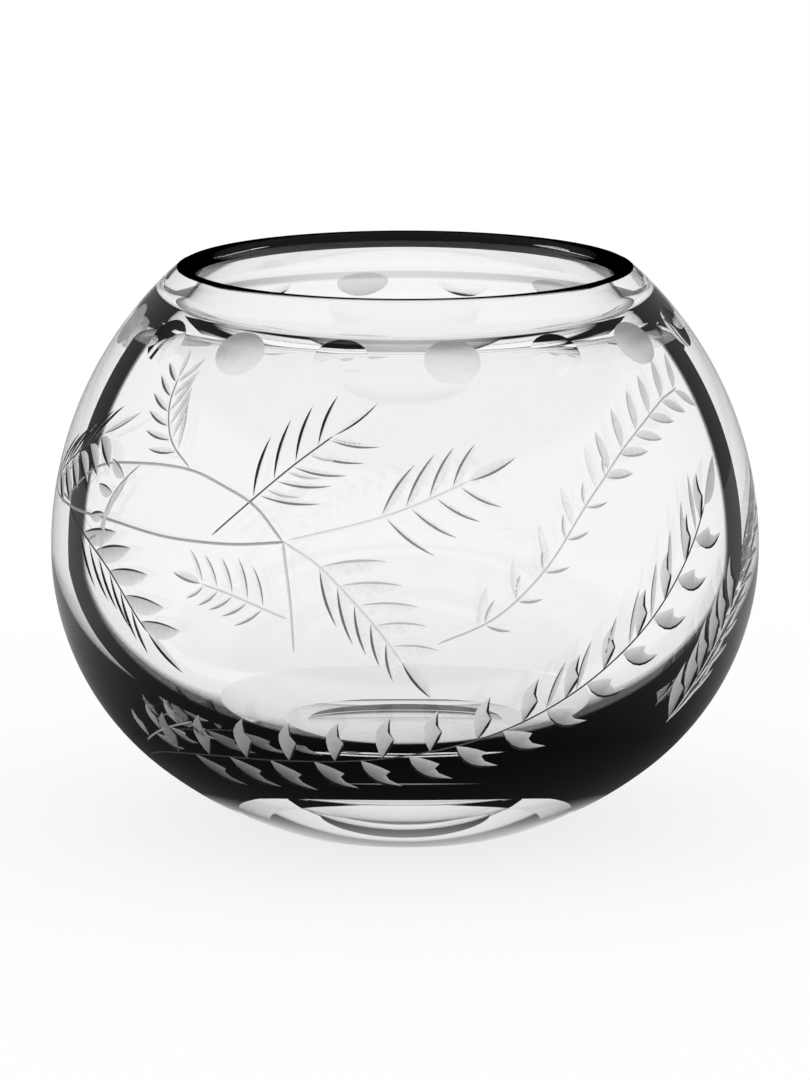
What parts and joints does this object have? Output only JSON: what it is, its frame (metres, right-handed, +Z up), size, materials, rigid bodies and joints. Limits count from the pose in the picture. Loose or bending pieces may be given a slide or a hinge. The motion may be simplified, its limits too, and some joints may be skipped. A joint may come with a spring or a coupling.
{
  "type": "rose bowl vase",
  "caption": "Round clear crystal rose bowl vase, one piece, with a drawn-in rounded mouth, thick floor, flat hollow-ground foot and a ring of round cuts on the shoulder.",
  "frame": {"origin": "centre of the foot's resting plane, on the bowl's axis", "axes": "+Z up along the bowl's axis through the mouth, -Y towards the viewer of the picture, +X to the viewer's right"},
  "size_m": [0.18, 0.18, 0.143],
  "materials": {
    "clear_crystal": "polished clear crystal, with the sprays and every other round cut left matt from the wheel"
  },
  "bodies": {
    "root": {"bowl": "clear_crystal"}
  },
  "joints": []
}
